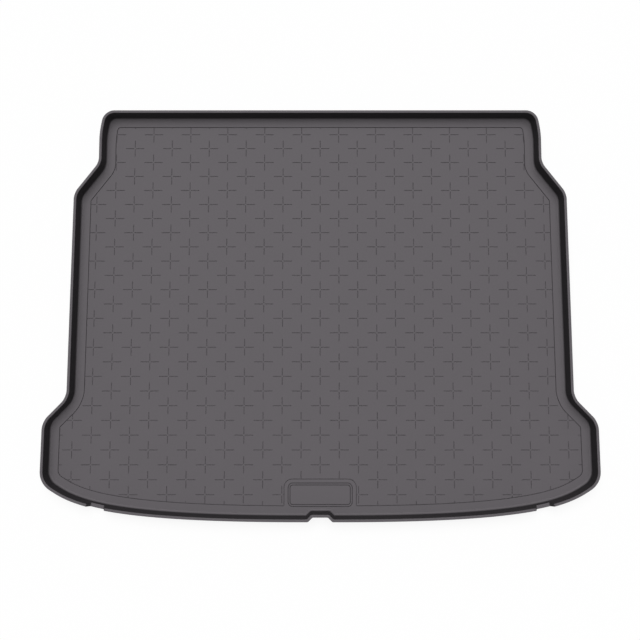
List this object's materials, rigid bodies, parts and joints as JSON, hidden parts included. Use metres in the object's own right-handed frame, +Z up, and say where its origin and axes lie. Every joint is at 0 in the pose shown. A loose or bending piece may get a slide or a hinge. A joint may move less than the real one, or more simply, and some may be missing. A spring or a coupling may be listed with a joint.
{
  "type": "car boot liner",
  "caption": "Shallow moulded tray that lies in a car's boot, with a raised rim, a cross-grooved floor, wings at the front and a notch in its front edge.",
  "frame": {"origin": "middle of the tray's plan, on the surface that its flat underside lies on", "axes": "+X to the right across the boot, +Y towards the seats, +Z up out of the tray"},
  "size_m": [1.1, 0.825, 0.0282],
  "materials": {
    "liner_rubber": "fine-grained matt dark grey rubbery plastic"
  },
  "bodies": {
    "root": {"liner": "liner_rubber"}
  },
  "joints": []
}
